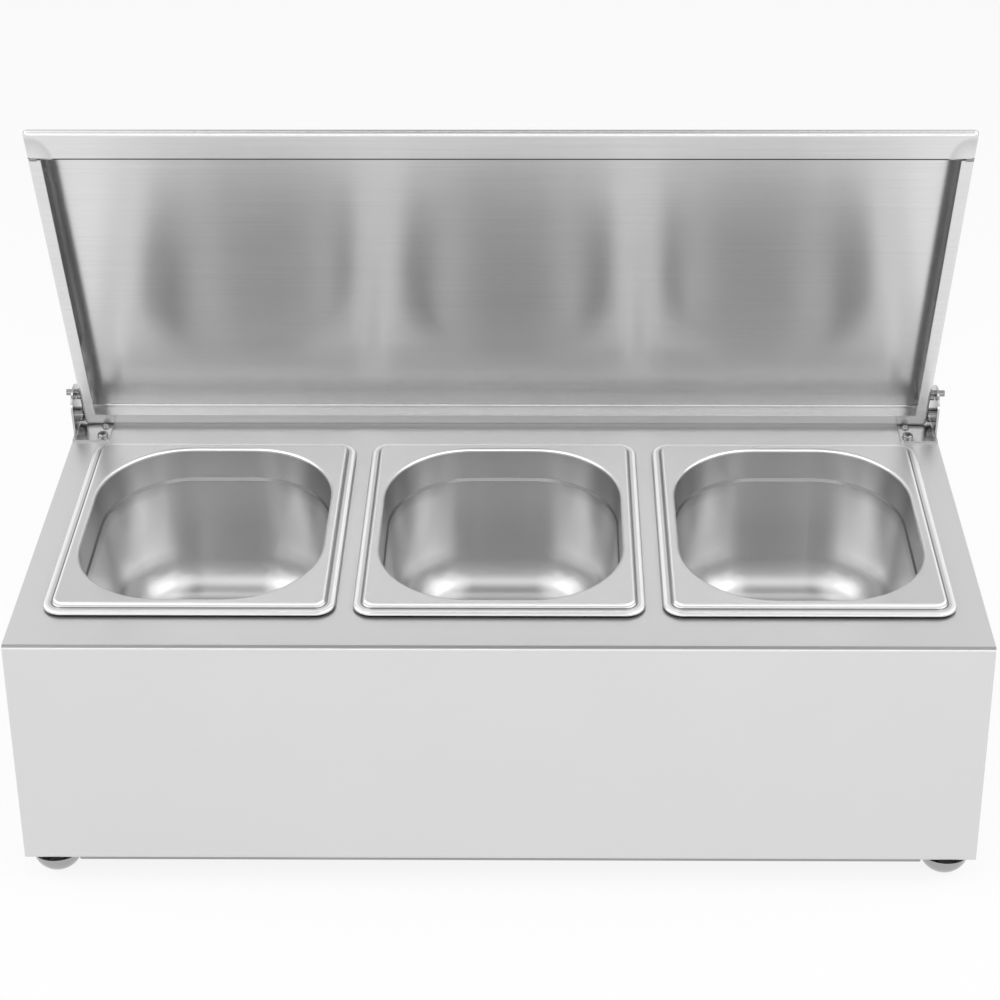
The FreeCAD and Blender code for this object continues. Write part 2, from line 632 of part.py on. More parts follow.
def sideways_rivet(name, y, z):
    """A rivet through the right side wall and its plate, head inward, in the closed lid's measures."""
    rivet = button(name, "rivet_head_radius", "rivet_head_height", "rivet_head_height * 0.8",
                   "rivet_radius", "plate_sheet + lid_sheet")
    rivet.Placement = FreeCAD.Placement(FreeCAD.Vector(), FreeCAD.Rotation(FreeCAD.Vector(0, 1, 0), -90))
    return stand(rivet, f"{plate_outside} - plate_sheet", y, z)


rivets = [sideways_rivet(f"rivet_{name}", *spot) for (name, _), spot in zip(LID_RIVETS, lid_rivet_spots())]
right_rivets = keep("lid_rivets_right", on_lid(group("lid_rivets_right", rivets)))
keep("lid_rivets_left", mirror("lid_rivets_left", right_rivets))

# Stop stud: stands out of the lid's side wall and meets the bracket's stop pin when the lid is open

stud = crosswise(make("Part::Cylinder", "stop_stud_round", Radius="stop_stud_radius",
                      Height=f"plate_sheet + lid_sheet + {EAR_INSIDE} - {LID_SIDE} - stop_end",
                      Placement__Base__x=f"{plate_outside} - plate_sheet", Placement__Base__y="-stop_climb",
                      Placement__Base__z="stop_back - pivot_over_lips"))
right_stud = keep("lid_stop_stud_right", on_lid(group("lid_stop_stud_right", [stud])))
keep("lid_stop_stud_left", mirror("lid_stop_stud_left", right_stud))

# Hinge brackets: a foot screwed to the deck and an ear along its edge

bracket = body("bracket_fold")
ear = [("ear_start", "0"), ("ear_start + ear_width", "0"), ("ear_start + ear_width", "ear_height"),
       ("ear_start", "ear_height")]
ear_side = outline(bracket, "ear_side", "YZ", ear, EAR_INSIDE)
feature(bracket, "Pad", ear_side, "bracket_sheet")
round_edges(bracket, "ear_round", "ear_corner", lambda e: along(e, 0) and middle(e).z > number("ear_height / 2"))
foot_inside = "body_width / 2 - flange_width"
foot_plan = [(foot_inside, "flange_start"), ("body_width / 2", "flange_start"),
             ("body_width / 2", "flange_end"), (foot_inside, "flange_end")]
feature(bracket, "Pad", outline(bracket, "flange_plan", "XY", foot_plan), "bracket_sheet")
inner = lambda e: along(e, 2) and middle(e).x < number(f"{foot_inside} + bracket_sheet")
round_edges(bracket, "flange_corners", "flange_corner", inner)
at_fold = lambda e: along(e, 1) and level(e, "bracket_sheet") and abs(middle(e).x - number(EAR_INSIDE)) < 1e-3
round_edges(bracket, "bracket_bend_inside", "bracket_bend", at_fold)
pivot_hole = circles(bracket, "pivot_hole", "YZ", [("pivot_run", "pivot_rise")], "pivot_radius")
feature(bracket, "Pocket", pivot_hole)
turn = "lid_angle"
stop_gap_all = "(stop_radius + stop_stud_radius + stop_gap)"
stop_y = "(-stop_climb)"
stop_z = "(stop_back - pivot_over_lips)"
stud_run = f"(pivot_run + {stop_y} * cos({turn}) + {stop_z} * sin({turn}))"
stud_rise = f"(pivot_rise - {stop_y} * sin({turn}) + {stop_z} * cos({turn}))"
pin_run = f"({stud_run} + {stop_gap_all} * sin({turn}))"
pin_rise = f"({stud_rise} + {stop_gap_all} * cos({turn}))"
feature(bracket, "Pocket", circles(bracket, "stop_hole", "YZ", [(pin_run, pin_rise)], "stop_radius"))
holes = [("body_width / 2 - flange_width + bracket_screw_in", run) for run in ("front_screw_run", "rear_screw_run")]
feature(bracket, "Pocket", circles(bracket, "screw_holes", "XY", holes, "screw_radius"))
on_deck(bracket)
right_bracket = keep("hinge_bracket_right", bracket)
keep("hinge_bracket_left", mirror("hinge_bracket_left", right_bracket))

# Stop pins, pivot pins and their washers, all carried by the ears

pin = crosswise(make("Part::Cylinder", "stop_pin_round", Radius="stop_radius",
                     Height=f"body_width / 2 + stop_out - {LID_SIDE} - stop_end",
                     Placement__Base__x=f"{LID_SIDE} + stop_end", Placement__Base__y=pin_run,
                     Placement__Base__z=pin_rise))
right_pin = keep("stop_pin_right", on_deck(group("stop_pin_right", [pin])))
keep("stop_pin_left", mirror("stop_pin_left", right_pin))

pivot = button("pivot_pin_round", "pivot_head_radius", "pivot_head_height", "head_edge", "pivot_radius",
               f"body_width / 2 - {plate_outside} + plate_sheet + plate_gap")
pivot.Placement = FreeCAD.Placement(FreeCAD.Vector(), FreeCAD.Rotation(FreeCAD.Vector(0, 1, 0), -90))
stand(pivot, f"{plate_outside} - plate_sheet - plate_gap", "pivot_run", "pivot_rise")
right_pivot = keep("pivot_pin_right", on_deck(group("pivot_pin_right", [pivot])))
keep("pivot_pin_left", mirror("pivot_pin_left", right_pivot))

washer_thick = f"({EAR_INSIDE} - {LID_SIDE} - washer_gap)"
disc = make("Part::Cylinder", "washer_disc", Radius="washer_radius", Height=washer_thick)
bore = make("Part::Cylinder", "washer_bore", Radius="pivot_radius", Height=f"{washer_thick} + 2 * overrun",
            Placement__Base__z="-overrun")
ring = crosswise(cut("washer_ring", disc, bore))
stand(ring, f"{LID_SIDE} + washer_gap", "pivot_run", "pivot_rise")
right_washer = keep("pivot_spacer_right", on_deck(group("pivot_spacer_right", [ring])))
keep("pivot_spacer_left", mirror("pivot_spacer_left", right_washer))

# Bracket screws with their nuts under the deck

screws, nuts = [], []
for i, (x, run) in enumerate(deck_screw_spots(), start=1):
    head = "screw_head" if run == "front_screw_run" else "low_head"
    screw = button(f"bracket_screw_{i}", head + "_radius", head + "_height", "head_edge",
                   "screw_radius", "screw_length")
    screws.append(stand(screw, x, run, "bracket_sheet"))
    nut = hex_nut(f"bracket_nut_{i}", "bracket_nut_across", "bracket_nut_height", "screw_radius")
    nuts.append(stand(nut, x, run, "-body_sheet - bracket_nut_height"))
keep("bracket_screws", on_deck(group("bracket_screws", screws)))
keep("bracket_nuts", on_deck(group("bracket_nuts", nuts)))

# Checks, then one file for each node

doc.recompute()
for item in doc.Objects:
    faults = [state for state in item.State if state in ("Invalid", "Error")]
    if faults:
        raise RuntimeError(f"{item.Label} is {faults[0]}")
for item in NODES:
    if item.Shape.isNull() or not item.Shape.isValid() or not item.Shape.Solids:
        raise RuntimeError(f"{item.Label} has no sound shape")
os.makedirs("parts", exist_ok=True)
for item in NODES:
    item.Shape.exportStep(f"parts/{item.Label}.step")
    box = item.Shape.BoundBox
    print(f"{item.Label}: {len(item.Shape.Solids)} solid(s), {box.XLength:.1f} x {box.YLength:.1f} x {box.ZLength:.1f}")
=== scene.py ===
# %% [markdown]
# # A stainless steel condiment holder
# Three drawn pans hang in the sloping deck of a folded housing, and a shallow tray of a lid stands open
# behind them. The measured model comes in first as a fixed frame. Every piece that is made here lies
# in the same metres, so nothing has to be fitted afterwards.

# %% Load the measured model
import json
import math
import bpy
from mathutils import Matrix, Vector


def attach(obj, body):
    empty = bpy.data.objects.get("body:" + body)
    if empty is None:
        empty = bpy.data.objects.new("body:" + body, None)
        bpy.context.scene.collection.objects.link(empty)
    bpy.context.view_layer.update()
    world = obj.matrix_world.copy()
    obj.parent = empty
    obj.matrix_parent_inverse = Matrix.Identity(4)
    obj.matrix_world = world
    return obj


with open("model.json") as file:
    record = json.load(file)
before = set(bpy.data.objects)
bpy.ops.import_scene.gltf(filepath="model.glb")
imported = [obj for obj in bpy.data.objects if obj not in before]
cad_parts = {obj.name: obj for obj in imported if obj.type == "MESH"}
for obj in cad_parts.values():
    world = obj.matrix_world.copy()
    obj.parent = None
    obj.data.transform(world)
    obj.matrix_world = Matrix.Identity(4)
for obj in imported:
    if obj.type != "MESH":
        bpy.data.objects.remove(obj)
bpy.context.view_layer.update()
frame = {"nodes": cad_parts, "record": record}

# %% [markdown]
# ## Measures
# The housing is a wedge, so most places are easiest to give on its deck: across, up along the slope
# from the front edge, and square to the sheet. The open lid has a slope of its own, and its places are
# given from its pivot line. Two functions turn such places into metres.

# %% Places on the deck
MM = 0.001
SLOPE = math.radians(9.8)
DECK_LENGTH = 250 * MM
HALF_DEPTH = DECK_LENGTH * math.cos(SLOPE) / 2
FOOT_HEIGHT, FRONT_HEIGHT = 14.5, 135.4
FRONT_TOP = (FOOT_HEIGHT + FRONT_HEIGHT) * MM


def on_deck(x, run, rise):
    """Metres across, along the slope and square to the deck, as a point of the model."""
    return Vector((x, run * math.cos(SLOPE) - rise * math.sin(SLOPE) - HALF_DEPTH,
                   FRONT_TOP + run * math.sin(SLOPE) + rise * math.cos(SLOPE)))


print("rear edge of the deck at", [round(v, 4) for v in on_deck(0, DECK_LENGTH, 0)])

# %% Places on the open lid
LID_OPENING = math.radians(77)
LID_TURN = SLOPE - LID_OPENING
PIVOT = on_deck(0, 229.1 * MM, 7.5 * MM)


def on_lid(x, along, up):
    """A place on the open lid, measured on the shut lid from its pivot line: back and up from it."""
    return PIVOT + Vector((x, along * math.cos(LID_TURN) - up * math.sin(LID_TURN),
                           along * math.sin(LID_TURN) + up * math.cos(LID_TURN)))


print("pivot line at", [round(v, 4) for v in PIVOT])

# %% [markdown]
# ## Camera
# The photograph was taken from a little above with a long lens. Its place and turn were worked out from
# the straight edges of the housing, the deck and the lid, so the picture's lines fall on the real ones.

# %% Camera
SENSOR_WIDTH, FRAME_PIXELS, FOCAL_PIXELS, SHIFT = 36, 1000, 2125.81, -0.02803
TURN, TILT, ROLL = 0.0093, 0.4167, -0.0020
RIGHT, BACK, UP = 25.90 * MM, -1015.67 * MM, 536.56 * MM  # from the middle of the deck's front edge
camera = bpy.data.objects.new("camera", bpy.data.cameras.new("camera"))
bpy.context.scene.collection.objects.link(camera)
camera.data.sensor_width = SENSOR_WIDTH
camera.data.lens = FOCAL_PIXELS / FRAME_PIXELS * SENSOR_WIDTH
camera.data.shift_x = SHIFT
camera.data.clip_start, camera.data.clip_end = 0.05, 60
turn = Matrix.Rotation(TURN, 4, "Z") @ Matrix.Rotation(math.pi / 2 - TILT, 4, "X")
turn = turn @ Matrix.Rotation(ROLL, 4, "Z")
stand = Vector((RIGHT, BACK - HALF_DEPTH, UP + FRONT_TOP))
camera.matrix_world = Matrix.Translation(stand) @ turn
bpy.context.scene.camera = camera
print("camera at", [round(v, 3) for v in stand])

# %% [markdown]
# ## Colour and shader helpers
# Colours are written as they look on a screen and turned to the linear values that light is reckoned
# in. One function adds any node with its settings and links, and a colour ramp with its stops too, so
# every pattern below is a short chain of calls to it.

# %% Colours and nodes


def linear(code):
    """A screen colour such as #D2D2D3 as linear red, green, blue and full alpha."""
    parts = [int(code[i:i + 2], 16) / 255 for i in (1, 3, 5)]
    return [p / 12.92 if p <= 0.04045 else ((p + 0.055) / 1.055) ** 2.4 for p in parts] + [1.0]


def node(tree, kind, inputs=None, stops=(), **settings):
    """Adds a node; an input given as a socket is linked, and anything else is its value. The stops of a
    colour ramp are pairs of a place and a grey level or linear colour."""
    made = tree.nodes.new(kind)
    for name, value in settings.items():
        setattr(made, name, value)
    for key, value in (inputs or {}).items():
        if isinstance(value, bpy.types.NodeSocket):
            tree.links.new(value, made.inputs[key])
        else:
            made.inputs[key].default_value = value
    if stops:
        elements = made.color_ramp.elements
        while len(elements) < len(stops):
            elements.new(0.5)
        for element, (where, tone) in zip(elements, stops):
            element.position = where
            element.color = tone if isinstance(tone, (list, tuple)) else (tone, tone, tone, 1)
    return made


print("mid grey #808080 is", round(linear("#808080")[0], 4))

# %% [markdown]
# ## Stainless steel
# All the sheet here is the same austenitic stainless steel; only its surface differs. Rolling and
# belting leave fine parallel lines, which spread a reflection across the lines and keep it sharp along
# them. Drawn pans keep a satin finish without a direction. Handling leaves faint cloudy patches. Real
# belt lines are a few hundredths of a millimetre wide, too fine to show here, so they are drawn about
# a millimetre wide and faint.

# %% Cloudy patches
PATCH_SIZE = 71.43  # mm across, as a hand or a cloth leaves them


def handled(tree, where, colour, cloud):
    """The steel's colour in patches that are a little lighter and darker, and the patches themselves."""
    patches = node(tree, "ShaderNodeTexNoise", {"Vector": where, "Scale": 1 / (PATCH_SIZE * MM),
                                                "Detail": 3.0, "Roughness": 0.55}).outputs["Fac"]
    tone = linear(colour)
    low = [c * (1 - cloud) for c in tone[:3]] + [1]
    high = [min(1, c * (1 + cloud)) for c in tone[:3]] + [1]
    shade = node(tree, "ShaderNodeValToRGB", {"Fac": patches}, stops=[(0.3, low), (0.7, high)])
    return shade.outputs["Color"], patches


print("patches", round(PATCH_SIZE), "mm across")

# %% Belt lines
VECTOR_A, VECTOR_B, VECTOR_RESULT = 4, 5, 1  # the vector sockets of a Mix node
END_FACE = 0.75  # how squarely a face looks along the lines before they turn on it


def belt_lines(tree, where, length, width, axis):
    """Fine lines of a length and width in mm along an axis, and their direction. On an end face they
    run along another axis."""
    spare = {"X": "Y", "Y": "X", "Z": "Y"}[axis]
    fine, drawn = 1 / (width * MM), 1 / (length * MM)
    normal = node(tree, "ShaderNodeNewGeometry").outputs["Normal"]
    facing = node(tree, "ShaderNodeVectorMath", {0: normal, 1: [float(a == axis) for a in "XYZ"]},
                  operation="DOT_PRODUCT").outputs["Value"]
    either_end = node(tree, "ShaderNodeMath", {0: facing}, operation="ABSOLUTE").outputs[0]
    end_face = node(tree, "ShaderNodeMath", {0: either_end, 1: END_FACE}, operation="GREATER_THAN").outputs[0]
    scale = node(tree, "ShaderNodeMix", {"Factor": end_face}, data_type="VECTOR")
    run = node(tree, "ShaderNodeMix", {"Factor": end_face}, data_type="VECTOR")
    for socket, along in ((VECTOR_A, axis), (VECTOR_B, spare)):
        scale.inputs[socket].default_value = [drawn if a == along else fine for a in "XYZ"]
        run.inputs[socket].default_value = [float(a == along) for a in "XYZ"]
    drawn_out = node(tree, "ShaderNodeMapping", {"Vector": where, "Scale": scale.outputs[VECTOR_RESULT]})
    lines = node(tree, "ShaderNodeTexNoise", {"Vector": drawn_out.outputs["Vector"], "Scale": 1.0,
                                              "Detail": 4.0, "Roughness": 0.65})
    return lines.outputs["Fac"], run.outputs[VECTOR_RESULT]


print("lines turn on faces within", round(math.degrees(math.acos(END_FACE))), "degrees of an end")

# %% Steel


def steel(name, colour, roughness, grain=None, stretch=0.0, cloud=0.03, metal=1.0, uneven=0.08, depth=0.04):
    """A steel finish. Its grain is its lines' length and width in mm and the axis they run along,
    and depth says how dark they are. stretch is how far they spread a reflection. cloud and uneven are
    how much the patches change the colour and the roughness."""
    material = bpy.data.materials.new(name)
    material.use_nodes = True
    tree = material.node_tree
    shader = tree.nodes["Principled BSDF"]
    for socket, value in (("Metallic", metal), ("Anisotropic", stretch), ("Anisotropic Rotation", 0.25)):
        shader.inputs[socket].default_value = value
    where = node(tree, "ShaderNodeTexCoord").outputs["Object"]
    shade, patches = handled(tree, where, colour, cloud)
    rough = node(tree, "ShaderNodeMapRange", {"Value": patches, "From Min": 0.25, "From Max": 0.75,
                                              "To Min": roughness * (1 - uneven),
                                              "To Max": roughness * (1 + uneven)}).outputs["Result"]
    if grain:
        lines, run = belt_lines(tree, where, *grain)
        streak = node(tree, "ShaderNodeValToRGB", {"Fac": lines}, stops=[(0.3, 1 - depth), (0.7, 1.0)])
        shade = node(tree, "ShaderNodeMix", {"Factor": 1.0, "A": shade, "B": streak.outputs["Color"]},
                     data_type="RGBA", blend_type="MULTIPLY").outputs["Result"]
        rough = node(tree, "ShaderNodeMath", {0: lines, 1: depth / 2, 2: rough},
                     operation="MULTIPLY_ADD").outputs[0]
        if stretch:
            tree.links.new(run, shader.inputs["Tangent"])
    tree.links.new(shade, shader.inputs["Base Color"])
    tree.links.new(rough, shader.inputs["Roughness"])
    return material


print("each finish sets metallic, roughness, lines and patches")

# %% Finishes of the sheet and plate
finishes = {
    # Housing: cold-rolled sheet under a fine belt. An even pale grey that blurs all that it mirrors.
    "housing_sheet": steel("stainless_sheet_fine_belt", "#D8D8D8", 0.34, (300, 1.6, "X"), stretch=0.3,
                           cloud=0.004, metal=0.85, uneven=0.02, depth=0.008),
    # Bottom cover: sheet as the mill rolled it, dull and darker.
    "dark_sheet": steel("stainless_sheet_mill", "#A2A2A2", 0.5, (60, 1.5, "X"), stretch=0.2),
    # Lid and its hinge plates: a coarser belt, so the lid mirrors the pans as soft drawn-out ovals.
    "lid_sheet": steel("stainless_sheet_belt_brushed", "#E2E2E2", 0.23, (120, 1.2, "X"), stretch=0.8,
                       cloud=0.02, uneven=0.04, depth=0.07),
    # Pans: deep-drawn sheet, satin all over, with broad soft highlights and no direction.
    "pan_steel": steel("stainless_drawn_satin", "#D2D2D2", 0.3, cloud=0.015, metal=0.97, uneven=0.03),
    # Hinge brackets: thicker plate, brushed upright and sharper in its reflections.
    "bracket_steel": steel("stainless_plate_brushed", "#C4C4C4", 0.2, (20, 0.9, "Z"), stretch=0.3),
}
print("sheet and plate", sorted(finishes))

# %% Finishes of the small parts
finishes.update({
    # Pins, spacers, rivets and bracket screws: turned or headed steel, polished, with dark and bright edges.
    "bright_steel": steel("stainless_polished", "#989898", 0.14),
    # Nuts, the studs of the feet and the cover's screws: zinc plate, a soft grey with cloudy patches.
    "plated_fasteners": steel("zinc_plated_steel", "#A9AAAB", 0.35, cloud=0.06),
    # Feet: chrome plate, nearly a mirror.
    "bright_chrome": steel("chrome_plate_on_steel", "#A8A8A8", 0.07, cloud=0.015),
})
slot_of = {part["node"]: part["material_slot"] for part in frame["record"]["subparts"]}
for name, item in frame["nodes"].items():
    item.data.materials.clear()
    item.data.materials.append(finishes[slot_of[name]])
print("finishes", sorted(finishes))

# %% [markdown]
# ## Painted highlights and painted shade
# Light and shade are painted into the finishes here, in places that are easy to measure on the deck and on
# the lid.
# The raised beads and the rolled edge of a pan get painted highlights, and so do the corners of its walls.
# The groove of the rim and the shoulder get painted shade, and the lowest edge of the hem a near black
# painted shadow, as in the gap under the rim. Each is a change of colour in the finish, which reads its
# place along the slope and needs no mesh of its own.
# Each limit of a mark is one Map Range node, and the next one takes its result as the most that it may
# give, so the mark shows only where all of them let it.

# %% Places measured on a slope


def measured_on(tree, turn, origin):
    """Millimetres across, along and above a plane that is turned about the X axis at an origin."""
    cos, sin = math.cos(turn), math.sin(turn)
    shift = [side / MM for side in (0, -origin.y * cos - origin.z * sin, origin.y * sin - origin.z * cos)]
    where = node(tree, "ShaderNodeTexCoord").outputs["Object"]
    turned = node(tree, "ShaderNodeMapping", {"Vector": where, "Rotation": (-turn, 0, 0), "Location": shift,
                                              "Scale": (1 / MM, 1 / MM, 1 / MM)})
    return node(tree, "ShaderNodeSeparateXYZ", {"Vector": turned.outputs["Vector"]}).outputs


print("places on a slope are in mm,", round(1 / MM), "to the metre")

# %% Marks and their edges
SHARP = 0.001  # mm over which a sharp edge fades to either side


def over(value, edge, soft=SHARP):
    """The fade that keeps a mark where a value is over an edge."""
    return value, edge - soft, edge + soft


def under(value, edge, soft=SHARP):
    """The fade that keeps a mark where a value is under an edge."""
    return value, edge + soft, edge - soft


def mark(material, colour, *fades, strength=1.0):
    """Lays another colour over a finish. A fade is a value with the places at which it brings the mark
    to nothing and to its strength, and the mark shows as far as all its fades let it."""
    tree = material.node_tree
    shader = tree.nodes["Principled BSDF"]
    bare = shader.inputs["Base Color"].links[0].from_socket
    mask = strength
    for value, nothing, full in fades:
        mask = node(tree, "ShaderNodeMapRange", {"Value": value, "From Min": nothing, "From Max": full,
                                                 "To Min": 0.0, "To Max": mask}).outputs["Result"]
    marked = node(tree, "ShaderNodeMix", {"Factor": mask, "A": bare, "B": linear(colour)}, data_type="RGBA")
    tree.links.new(marked.outputs["Result"], shader.inputs["Base Color"])


print("sharp edges fade over", 2 * SHARP, "mm")

# %% Distance from a pan's rim
PITCH, RIM_MIDDLE = 171.55, 114.3
RIM_CORNER, RIM_BOX = 11, (70, 77, 0)  # mm: the corner's radius, and half the box between its centres
WEB_RISE = 5.5  # mm from the deck up to the web, the flat top of a pan
pan_steel = finishes["pan_steel"]
tree = pan_steel.node_tree
across, along, height = measured_on(tree, SLOPE, on_deck(0, RIM_MIDDLE * MM, 0))
from_middle = node(tree, "ShaderNodeMath", {0: across, 1: PITCH / 2}, operation="PINGPONG").outputs[0]
folded = node(tree, "ShaderNodeCombineXYZ", {"X": from_middle, "Y": along}).outputs["Vector"]
for operation, other in (("ABSOLUTE", (0, 0, 0)), ("SUBTRACT", RIM_BOX), ("MAXIMUM", (0, 0, 0))):
    folded = node(tree, "ShaderNodeVectorMath", {0: folded, 1: other}, operation=operation).outputs["Vector"]
past_box = node(tree, "ShaderNodeVectorMath", {0: folded}, operation="LENGTH").outputs["Value"]
past_rim = node(tree, "ShaderNodeMath", {0: past_box, 1: RIM_CORNER}, operation="SUBTRACT").outputs[0]
drop = node(tree, "ShaderNodeMath", {0: WEB_RISE, 1: height}, operation="SUBTRACT").outputs[0]
print("mm past the rim's outline, below 0 inside it, and mm down from the web")

# %% Painted highlights, shade and shadow on the rim
HEM_TOP = 1.5  # mm above the deck
HEM_INSIDE, BEAD_SOFT = -5.0, 0.3  # mm past the rim's outline, and mm over which a bead's edge fades
# Painted highlights on the two beads, and painted shade in the groove between them.
RIM_HIGHLIGHTS_AND_SHADE = {"inner bead": (-6.9, -5.5, "#F4F4F4"), "groove": (-5.2, -4.2, "#848484"),
             "outer bead": (-2.6, -0.4, "#F4F4F4")}
for low, high, colour in RIM_HIGHLIGHTS_AND_SHADE.values():
    mark(pan_steel, colour, over(past_rim, low, BEAD_SOFT), under(past_rim, high, BEAD_SOFT),
         over(height, HEM_TOP))
# Painted shadow: the hem, up to 1.5 mm above the deck, is painted near black, as the shadow in the gap under
# the rim.
mark(pan_steel, "#141414", over(past_rim, HEM_INSIDE), under(height, HEM_TOP))
print("marks", sorted(RIM_HIGHLIGHTS_AND_SHADE), "and a dark hem up to", HEM_TOP, "mm above the deck")

# %% Painted shade and highlights inside a pan
SHOULDER, SHOULDER_SOFT = (20.5, 22.5), 0.3  # mm down from the web, as the next two are
ROLLED_EDGE, EDGE_SOFT = (0.3, 2.3), 0.15
WALLS, WALL_SOFT = (26.0, 72.0), 4.0
CORNER_START, CORNER_FULL = 28.0, 52.0  # mm to either side of the pan's middle
OPENING = -8.0  # mm past the rim's outline, so inside it
# Painted shade: a grey band along the shoulder, 20.5 to 22.5 mm down from the web.
mark(pan_steel, "#8A8A8A", over(drop, SHOULDER[0], SHOULDER_SOFT), under(drop, SHOULDER[1], SHOULDER_SOFT))
# Painted highlight: a near white band along the rolled edge of the opening.
mark(pan_steel, "#F8F8F8", over(drop, ROLLED_EDGE[0], EDGE_SOFT), under(drop, ROLLED_EDGE[1], EDGE_SOFT),
     under(past_rim, OPENING))
# Painted highlights: upright bright bands on the walls towards the pan's corners, 26 to 72 mm down from the
# web.
mark(pan_steel, "#F4F4F4", over(drop, WALLS[0], WALL_SOFT), under(drop, WALLS[1], WALL_SOFT),
     (from_middle, CORNER_START, CORNER_FULL), under(past_rim, OPENING))
print("shoulder dull at", SHOULDER, "rolled edge bright at", ROLLED_EDGE, "mm down")

# %% Painted shade along the front fold
BEND_LENGTH, BEND_DROP = 1.7, -1.0  # mm along the deck and above it
BEND_STRENGTH = 0.8
housing_sheet = finishes["housing_sheet"]
across, along, height = measured_on(housing_sheet.node_tree, SLOPE, on_deck(0, 0, 0))
# Painted shade: a grey line is painted along the front fold, over the deck's first 1.7 mm from its front
# edge.
mark(housing_sheet, "#8C8C8C", under(along, BEND_LENGTH), over(height, BEND_DROP), strength=BEND_STRENGTH)
print("fold dull over the first", BEND_LENGTH, "mm of the deck, where bending stretched it")

# %% Painted shade along the edge of the lid's front lip
LIP_TOP, LIP_EDGE = -2.9, -202.3  # mm up and along from the pivot line
HALF_EDGE = 0.45  # mm to either side of the edge
lid_sheet = finishes["lid_sheet"]
tree = lid_sheet.node_tree
across, along, height = measured_on(tree, LID_TURN, PIVOT)
on_lip = under(height, LIP_TOP)
# Painted shade: a dark line is painted along the free edge of the front lip, as the shade under the lip.
mark(lid_sheet, "#4A4A4A", over(along, LIP_EDGE - HALF_EDGE), under(along, LIP_EDGE + HALF_EDGE), on_lip)
print("front lip's edge dark over", 2 * HALF_EDGE, "mm")

# %% [markdown]
# The lips of the lid are welded at its front corners. A soft round patch about each weld on the front lip
# is painted darker, a painted reflection. The inner faces of its side walls are painted darker too, a
# painted reflection of the dark room.

# %% Painted reflections about the lid's welds
WELD_ACROSS, WELD_ALONG = 260.7, -201.65  # mm from the lid's middle and from the pivot line
PATCH_CORE, PATCH_RADIUS, PATCH_SOFT = 3.0, 11.0, 1.1  # mm from the weld
SEAM_SIDE, PATCH_SQUASH = -0.3, 0.75  # mm from the weld to where a patch starts, and how oval it is
outward = node(tree, "ShaderNodeMath", {0: across}, operation="ABSOLUTE").outputs[0]
away = node(tree, "ShaderNodeCombineXYZ", {"X": outward, "Y": along}).outputs["Vector"]
for operation, other in (("SUBTRACT", (WELD_ACROSS, WELD_ALONG, 0)), ("MULTIPLY", (1, PATCH_SQUASH, 0))):
    away = node(tree, "ShaderNodeVectorMath", {0: away, 1: other}, operation=operation).outputs["Vector"]
from_weld = node(tree, "ShaderNodeVectorMath", {0: away}, operation="LENGTH").outputs["Value"]
# Painted reflection: a darker oval patch is painted about each weld on the front lip.
mark(lid_sheet, "#CACACA", (from_weld, PATCH_CORE, PATCH_RADIUS), under(from_weld, PATCH_RADIUS, PATCH_SOFT),
     under(along, WELD_ALONG + SEAM_SIDE), on_lip)
print("ground patches reach", PATCH_RADIUS, "mm from the welds")

# %% Painted dark reflection inside the lid's side walls
INNER_FACE, FACE_SOFT = (262.6, 263.4), 0.05  # mm from the middle of the lid
# Painted reflection: the inner faces of the side walls are painted a darker grey.
mark(lid_sheet, "#989898", over(outward, INNER_FACE[0], FACE_SOFT), under(outward, INNER_FACE[1], FACE_SOFT),
     over(height, LIP_TOP))
print("side walls dull inside, at", INNER_FACE, "mm from the middle")

# %% [markdown]
# ## Welds at the lid's corners
# The lips of the lid meet in a butt seam at each front corner, closed by one short bead of weld. A bead
# is a row of small overlapping ripples along the seam, so Geometry Nodes lay a short line of points
# and put one flattened ball of metal on each.

# %% Weld ripples tree
RIPPLE_INPUTS = {"Ripples": "Int", "Spacing": "Float", "Ripple size": "Vector", "Seed": "Int"}
SMALLEST, LARGEST = 0.85, 1.12  # shares of the ripple size
RANDOM_MIN, RANDOM_MAX, RANDOM_VALUE = 2, 3, 1  # the float sockets of a Random Value node


def ripple_tree():
    """Points along a line, a flattened ball on each, made one plain mesh with its finish."""
    tree = bpy.data.node_groups.new("weld_ripples", "GeometryNodeTree")
    for name, kind in RIPPLE_INPUTS.items():
        tree.interface.new_socket(name, in_out="INPUT", socket_type="NodeSocket" + kind)
    tree.interface.new_socket("Geometry", in_out="OUTPUT", socket_type="NodeSocketGeometry")
    given = node(tree, "NodeGroupInput").outputs
    step = node(tree, "ShaderNodeCombineXYZ", {"X": given["Spacing"]}).outputs["Vector"]
    row = node(tree, "GeometryNodeMeshLine", {"Count": given["Ripples"], "Offset": step}, mode="OFFSET")
    ball = node(tree, "GeometryNodeMeshIcoSphere", {"Radius": 1.0, "Subdivisions": 3})
    vary = node(tree, "FunctionNodeRandomValue", {
        "Seed": given["Seed"], RANDOM_MIN: SMALLEST, RANDOM_MAX: LARGEST}, data_type="FLOAT")
    size = node(tree, "ShaderNodeVectorMath", {0: given["Ripple size"], "Scale": vary.outputs[RANDOM_VALUE]},
                operation="SCALE")
    set_out = node(tree, "GeometryNodeInstanceOnPoints", {
        "Points": row.outputs["Mesh"], "Instance": ball.outputs["Mesh"], "Scale": size.outputs["Vector"]})
    real = node(tree, "GeometryNodeRealizeInstances", {"Geometry": set_out.outputs["Instances"]})
    finish = node(tree, "GeometryNodeSetMaterial", {"Geometry": real.outputs["Geometry"],
                                                    "Material": finishes["bright_steel"]})
    node(tree, "NodeGroupOutput", {"Geometry": finish.outputs["Geometry"]})
    return tree


ripples = ripple_tree()
print("tree", ripples.name, "inputs", list(RIPPLE_INPUTS))

# %% Weld beads
RIPPLES, SPACING = 7, 0.6 * MM
RIPPLE_SIZE = (0.55 * MM, 1.0 * MM, 0.5 * MM)
HALF_BEAD, LIP_LEVEL = 1.8 * MM, -4.2 * MM


